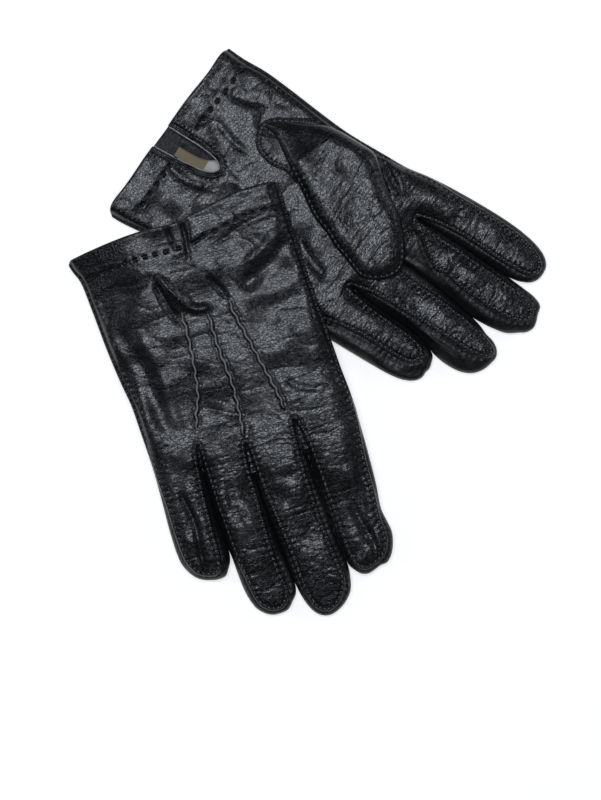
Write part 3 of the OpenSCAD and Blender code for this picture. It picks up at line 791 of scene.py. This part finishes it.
def woven(slot, name, base, rough, scale, depth, ribs=(1.0, 1.0)):
    """A fine woven or knitted cloth, or a twisted thread."""
    m, tree, b = material(name, base, rough, Sheen_Weight=0.3, Specular_IOR_Level=0.3)
    rest = node(tree, "ShaderNodeAttribute", attribute_name="rest").outputs["Vector"]
    waves = [node(tree, "ShaderNodeTexWave", {"Vector": rest, "Scale": scale * rib, "Distortion": 0.6},
                  bands_direction=way).outputs[1] for way, rib in zip("XY", ribs)]
    h = math_node(tree, "MAXIMUM", *waves)
    soft = node(tree, "ShaderNodeTexNoise", {"Vector": rest, "Scale": 0.25, "Detail": 4.0}).outputs[0]
    # Painted shade: the colour is darker where the weave is low, between the threads, and in soft patches
    # meant for the shadow inside the vent
    k = math_node(tree, "MULTIPLY", math_node(tree, "MULTIPLY_ADD", h, 0.5, 0.5),
                  math_node(tree, "MULTIPLY_ADD", soft, 0.8, 0.6))
    colour_between(tree, b, k, [c * 0.55 for c in base], base)
    bumped(tree, b, h, 0.6, depth)
    return m, slot


# Each look is a material and the slot it stands for. In a leather look the first colour is painted shade in
# the creases and the second is painted sheen on the raised cells.
HIDE = leather("glove_leather_hide", (0.0008, 0.0009, 0.0011), (0.005, 0.0056, 0.0072), 0.16)
# The side pieces between the fingers: the same hide, rougher, with its colours painted darker as painted
# shade
SHADED_SIDE_HIDE = leather("glove_leather_shaded_sides", (0.0006, 0.0006, 0.0008), (0.0025, 0.0028, 0.0035), 0.34, 0.8)
FLESH_SIDE = leather("facing_leather_flesh", (0.001, 0.0011, 0.0014), (0.004, 0.0044, 0.0055), 0.50, 0.8)
PIPING = leather("vent_piping_hide", (0.003, 0.003, 0.004), (0.012, 0.012, 0.014), 0.14, 0.2,
                 "piping_leather")
# Pale grey for the ridges of the points: a painted highlight
POINT = leather("points_painted_highlight", (0.12, 0.12, 0.125), (0.32, 0.32, 0.33), 0.30, 0.3)
# Very pale grey for the thin line along the vent's edge: a painted highlight
VENT_HIGHLIGHT = leather("piping_painted_highlight", (0.30, 0.30, 0.31), (0.60, 0.60, 0.61), 0.30, 0.3, "piping_leather")
# Seam stitches in pale grey: the paleness is a painted glint; the hem thread below keeps the thread's dark
# colour
GLINT_THREAD = woven("sewing_thread", "sewing_thread_painted_glint", (0.25, 0.255, 0.265), 0.45, 1.6, 0.0001)
HEM_THREAD = woven("sewing_thread", "hem_thread_twist", (0.006, 0.006, 0.007), 0.62, 1.6, 0.0001)
KNIT = woven("lining", "lining_knit", (0.46, 0.38, 0.25), 0.85, 0.9, 0.0003)
WEB = woven("elastic", "elastic_web", (0.05, 0.05, 0.055), 0.7, 0.6, 0.0003, (0.4, 1.2))
TAPE = woven("care_label", "care_label_tape", (0.88, 0.87, 0.82), 0.6, 1.4, 0.0001)


# ---- Hand and fingers ----
def hide(g, seen):
    """The hand's panel and the finger strips of one side: of what shows, or of what lies down."""
    loop, spacing, beside = (g.edge_loop, FINE, (0, -0.7, 0.7, -1.6, 1.6)) if seen else \
        (g.outline_loop, COARSE, (0, -0.8, 0.8))
    if seen == g.palm_up:
        rows, holes = [], [g.vent]
    else:
        rows, holes = [(wavy(line), beside) for line in POINTS], []
    return surface(g, plan(loop, spacing, EDGE_RINGS, rows, holes), seen, lambda p: g.height(p, seen))


def side_strips(g):
    """The ring of the outline that the seen leather leaves open, where the side pieces are."""
    v, f = plan(g.outline_loop, FINE * 1.1, EDGE_RINGS[:5], [(g.edge, (0, -0.7, 0.6, 1.3))])
    mid = v[f].mean(1)
    left_open = ~inside(mid, g.edge_loop)
    outer_sides = np.abs(mid[:, 0] + 5) > 52
    keep = (left_open | (near(mid, g.edge)[0] < 0.55)) & (mid[:, 1] > np.where(outer_sides, 136, 124))
    if g.palm_up:             # beside the little finger the strip starts lower
        keep |= left_open & (mid[:, 1] > 112) & (mid[:, 0] > 40)
    return surface(g, used(v, f[keep]), True, lambda p: g.height(p, True, False))


def seam_threads(g, i):
    """The stitches of finger i, or of the hand for 0, on both sides of the glove."""
    parts = []
    for line, loop, up, over in ((g.edge, g.edge_loop, 1, 0.18), (g.outline, g.outline_loop, -1, -0.15)):
        q, t = stitch_points(line, loop, SEAM_START)
        mine = g.finger(q) == i
        q, t = q[mine], t[mine]
        parts.append(threads(q, t, g.height(q, up > 0) + over, *SEAM_STITCH, up))
    return joined(parts)


def hem_threads(g):
    """The row of long stitches that holds the turned hem, on both sides but not across the vent."""
    p, t = at(g.cuff, np.arange(HEM_START, lengths(g.cuff)[-1] - 3, HEM_PITCH))
    p = p - left_of(t) * HEM
    within = inside(p, g.edge_loop)
    p, t = p[within], t[within]
    beside_vent = (p[:, 0] <= VENT_SIDES[0]) | (p[:, 0] >= VENT_SIDES[1])
    parts = []
    for seen, up in ((True, 1), (False, -1)):
        keep = beside_vent | (seen != g.palm_up)
        parts.append(threads(p[keep], t[keep], g.height(p[keep], seen) + 0.25 * up, *HEM_STITCH, up))
    return joined(parts)


def points(g):
    """The three raised points on the back of the hand, as tubes along their ridges; their pale colour is a
    painted highlight.
    """
    tubes = []
    for line in POINTS:
        c = wavy(line)
        s = lengths(c)
        z = g.height(c, not g.palm_up) - 0.05 * g.out
        r = (0.32 * smooth(0, 3, s) * smooth(0, 5, s[-1] - s) + 0.12) * (1 + 0.12 * np.sin(s * 4.2))
        tubes.append(tube(np.column_stack([c, z]), r))
    return joined(tubes)


def hand_and_fingers(g):
    top, low, ring = hide(g, True), hide(g, False), side_strips(g)
    seen_name, under_name = ("palm", "back") if g.palm_up else ("back", "palm")
    turn = g.pattern[0]
    make(g, f"{seen_name}_hide", of_finger(g, 0, top, ring), HIDE, f"{seen_name}_panel", pattern=g.pattern)
    make(g, f"{under_name}_hide", of_finger(g, 0, low), HIDE, f"{under_name}_panel",
         pattern=(turn + 150, 0, 0))
    for i, name in enumerate(FINGERS, 1):
        bend = bend_of(g, name)
        make(g, f"{name}_hide", of_finger(g, i, top, low), HIDE, f"{name}_finger", bend, g.pattern)
        make(g, f"{name}_sides", of_finger(g, i, ring), SHADED_SIDE_HIDE, f"{name}_fourchettes", bend,
             (turn + 90 * i, 40, 0))
        make(g, f"{name}_seam_thread", seam_threads(g, i), GLINT_THREAD, f"{name}_stitches", bend)
    make(g, "seam_thread", seam_threads(g, 0), GLINT_THREAD, "hand_stitches")
    make(g, "hem_thread", hem_threads(g), HEM_THREAD, "hand_stitches")
    make(g, "points", points(g), POINT, "back_points")


# ---- Inside the glove ----
def lining(g):
    """The lining of the hand and the fingers, which starts under the facing."""
    sheets = []
    for seen in (True, False):
        v, f = plan(g.room, LINING_GRID, holes=[g.vent] if seen == g.palm_up else [])
        flat = used(v, f[centres(v, f)[:, 1] > LINING_START])
        sheets.append(surface(g, flat, seen, lambda p: g.lining_height(p, seen)))
    make(g, "hand_lining_cloth", of_finger(g, 0, *sheets), KNIT, "hand_lining")
    for i, name in enumerate(FINGERS, 1):
        make(g, f"{name}_lining_cloth", of_finger(g, i, *sheets), KNIT, f"{name}_finger_lining",
             bend_of(g, name))


def facing(g):
    """The leather turned inside the cuff, and a flap of it that shows in the vent, put there as painted
    shade.
    """
    inner_edge = g.cuff[::-1] + np.array([0, FACING])
    end = resample(np.array([g.cuff[-1], g.cuff[-1] + (1, FACING)]), 1.0)
    band = np.vstack([g.cuff, end[1:], inner_edge[1:]])
    (index_x, index_y), (little_x, little_y) = zip(*INDEX_EDGE[g.side]), zip(*LITTLE_EDGE[g.side][::-1])
    band[:, 0] = np.clip(band[:, 0], np.interp(band[:, 1], index_y, index_x) + 1.1,
                         np.interp(band[:, 1], little_y, little_x) - 1.1)

    def height(p, seen):
        dc, _ = near(p, g.cuff)
        z = np.abs(g.height(p, seen) - MID) - 2 * LEATHER * round_over(dc)
        return MID + np.maximum(z, 0.05) * (1 if seen else -1)
    parts = []
    for seen in (True, False):
        flat = plan(band, COARSE, (0.3, 0.9), (), [g.vent] if seen == g.palm_up else [])
        parts.append(surface(g, flat, not seen, lambda p: height(p, seen)))
    flap = plan(spline(VENT_SHADE_FLAP + VENT_SHADE_FLAP[:1])[:-1], COARSE)
    parts.append(surface(g, flap, g.palm_up,
                         lambda p: g.height(p, g.palm_up) - g.out * (1.2 + 0.25 * p[:, 0])))
    make(g, "facing", joined(parts), FLESH_SIDE, "cuff_facing")


def vent_binding(g):
    """The piping round the vent, and a pale thin tube along its inner edge: a painted highlight line."""
    line = g.vent[inside(g.vent, g.outline_loop) & (near(g.vent, g.cuff)[0] > 0.9)]
    path = np.column_stack([line, g.height(line, g.palm_up) + g.out * 0.3])
    make(g, "vent_piping", tube(path, 0.95, 12), PIPING, "vent_binding")
    # A pale tube just inside the piping: a painted highlight line
    line = inset(np.vstack([g.vent, [(6, -8)]]), 0.5)
    line = line[(np.abs(line[:, 0] - 6) < 8) & inside(line, g.outline_loop) & (near(line, g.cuff)[0] > 1.2)]
    path = np.column_stack([line, g.height(line, g.palm_up) + g.out * 1.0])
    make(g, "vent_painted_highlight", tube(path, 0.26, 6), VENT_HIGHLIGHT, "vent_binding")


def elastic(g, rows=5, columns=60):
    """The elastic in the back of the wrist, between the leather and the lining."""
    x = np.linspace(-ELASTIC_HALF, ELASTIC_HALF, columns)
    middle = np.column_stack([x, np.full(columns, sum(ELASTIC_Y) / 2)])
    z = g.lining_height(middle, not g.palm_up) - g.out * (0.3 + 0.1 * np.sin(x * 2.2))
    v = np.vstack([np.column_stack([x, np.full(columns, y), z]) for y in np.linspace(*ELASTIC_Y, rows)])
    make(g, "wrist_elastic_web", (v, grid_triangles(rows, columns), None), WEB, "wrist_elastic")


def care_label(g, rows=30, columns=14):
    """The blank label on the far side of the lining, seen through the vent."""
    x, y = np.meshgrid(np.linspace(*LABEL_X, columns), np.linspace(*LABEL_Y, rows))
    p = np.column_stack([x.ravel(), y.ravel()])
    v = np.column_stack([p, g.lining_height(p, False) + 0.5 + 0.25 * np.sin(p[:, 1] / 3.3)])
    f = grid_triangles(rows, columns)
    part = np.vstack([v, v - (0, 0, LABEL_T)]), np.vstack([f, f[:, ::-1] + len(v)]), None
    make(g, "label_tape", part, TAPE, "care_label")


# ---- Thumb, folded over the palm ----
THUMB_LOOP = spline(THUMB + THUMB[:1])[:-1]
THUMB_CORE = inset(THUMB_LOOP, 2.0)


def along_thumb(p):
    return (p - THUMB_HINGE) @ LEAN


def little_side(p):
    """The side of the thumb towards the little finger, where its seam lies."""
    return p[:, 0] > -24 + 0.30 * (p[:, 1] - 60)


def thumb_height(g, p, outer):
    """Height of the thumb's outer sheet, or of the one that lies on the palm."""
    d, s = near(p, closed(THUMB_LOOP))
    t = along_thumb(p)
    full = np.interp(t, THUMB_AT, THUMB_TALL[g.side])
    belly = 0.38 * full
    if outer:
        z = belly + (full - belly) * domed(d / 10.5, 2.2, 0.52)
        z += smooth(0.5, 5, d) * (0.8 * leather_noise(p + 37.0, g.seed + 400) + 0.5)
        z += seam_relief(d, s) * smooth(-30, 0, t) * np.where(little_side(p), 1, 0.25)
        z += LEATHER * round_over(d) * 0.6
    else:
        z = 0.25 + (belly - 0.25) * (1 - domed(d / 4.5, 2.2, 0.52))
    return 0.25 * g.height(p, g.palm_up) + 0.75 * (MID + g.out * 4.7) + g.out * z


def thumb(g):
    bend = bend_of(g, "thumb")
    sheets = []
    for outer, spacing in ((True, FINE), (False, COARSE)):
        flat = plan(THUMB_LOOP, spacing, EDGE_RINGS)
        sheets.append(surface(g, flat, outer == g.palm_up, lambda p: thumb_height(g, p, outer)))
    beyond = [along_thumb(centres(v, f)) > THUMB_CUT for v, f, _ in sheets]
    for name, bends in (("thumb", True), ("thumb_base", False)):
        part = joined([used(v, f[which == bends], n) for (v, f, n), which in zip(sheets, beyond)])
        make(g, f"{name}_hide", part, HIDE, name, bend if bends else None, (g.pattern[0], 500, 0))
    q, t = stitch_points(closed(THUMB_LOOP), THUMB_LOOP, 60)
    keep = little_side(q) | (q[:, 1] > 150)
    q, t = q[keep], t[keep]
    part = threads(q, t, thumb_height(g, q, True) + g.out * 0.15, *SEAM_STITCH, g.out)
    make(g, "thumb_seam_thread", part, GLINT_THREAD, "thumb_stitches", bend)

    def core_height(p, sign):
        a, b = thumb_height(g, p, True), thumb_height(g, p, False)
        d, _ = near(p, closed(THUMB_CORE))
        return (a + b) / 2 + (a - b) * 0.32 * np.clip(d / 3, 0, 1) * sign
    core = plan(THUMB_CORE, LINING_GRID)
    part = joined([surface(g, core, (sign > 0) == g.palm_up, lambda p: core_height(p, sign))
                   for sign in (1, -1)])
    make(g, "thumb_lining_cloth", part, KNIT, "thumb_lining", bend)


def thumb_gusset(g):
    """The gusset between thumb and palm, with its sewn edge."""
    edge = spline(HOLE_SEAM)
    loop = spline(HOLE_SEAM + [(-46, 84), (-30, 92), (-16, 88), HOLE_SEAM[0]])[:-1]

    def height(p):
        d, s = near(p, edge)
        relief = LEATHER * round_over(d) + 0.7 * seam_relief(d, s) + 0.5 * smooth(1, 7, d)
        return g.height(p, g.palm_up) + g.out * relief
    q, t = stitch_points(edge, loop, 40)
    make(g, "thumb_gusset_hide", surface(g, plan(loop, FINE, EDGE_RINGS[:5]), g.palm_up, height), HIDE,
         "thumb_gusset", pattern=(g.pattern[0] + 50, 700, 0))
    make(g, "thumb_hole_thread", threads(q, t, height(q) + g.out * 0.15, *SEAM_STITCH, g.out), GLINT_THREAD,
         "hand_stitches")


for side in SIDES:
    glove = Glove(side)
    hand_and_fingers(glove)
    lining(glove)
    facing(glove)
    vent_binding(glove)
    elastic(glove)
    thumb(glove)
    thumb_gusset(glove)
    if side == "left":
        care_label(glove)


# ---- Stage ----
def softbox(name, place_at, aim, size, power):
    light = bpy.data.lights.new(name, "AREA")
    light.shape = "RECTANGLE"
    light.size, light.size_y = size
    light.energy = power
    light.color = (0.93, 0.98, 1.08)
    obj = bpy.data.objects.new(name, light)
    link(obj)
    obj.location = place_at
    obj.rotation_euler = (Vector(aim) - Vector(place_at)).to_track_quat("-Z", "Y").to_euler()


def white_floor(size=6, glow=0.62):
    """A plain floor whose own light keeps it white in the picture."""
    bpy.ops.mesh.primitive_plane_add(size=size, location=(0, 0, 0))
    floor = bpy.context.object
    floor.name = "floor"
    look, _, shader = material("floor_white", (0.9, 0.9, 0.9), 0.7)
    shader.inputs["Emission Color"].default_value = (1, 1, 1, 1)
    shader.inputs["Emission Strength"].default_value = glow
    floor.data.materials.append(look)


def camera_over(centre, height, view_height, sensor=24.0):
    """A camera that looks straight down and takes in view_height of the floor."""
    data = bpy.data.cameras.new("photo_camera")
    data.sensor_fit = "VERTICAL"
    data.sensor_height = sensor
    data.lens = sensor * height / view_height
    camera = bpy.data.objects.new("photo_camera", data)
    link(camera)
    camera.location = (*centre, height)
    return camera


scene = bpy.context.scene
scene.view_settings.view_transform = "Standard"
white_floor()
scene.world = bpy.data.worlds.new("studio")
scene.world.use_nodes = True
background = scene.world.node_tree.nodes["Background"]
background.inputs["Color"].default_value = (1, 1, 1, 1)
background.inputs["Strength"].default_value = 0.045
softbox("softbox_over", (-0.13, 0.17, 2.0), (-0.13, 0.0, 0), (0.95, 0.75), 14.5)
softbox("softbox_left", (-1.1, 0.1, 0.7), (0, 0, 0), (0.3, 0.6), 1.8)
softbox("softbox_right", (0.9, 0.6, 0.7), (0, 0, 0), (0.3, 0.6), 1.8)
scene.camera = camera_over((-0.0045, -0.0403), 1.9, 0.468)
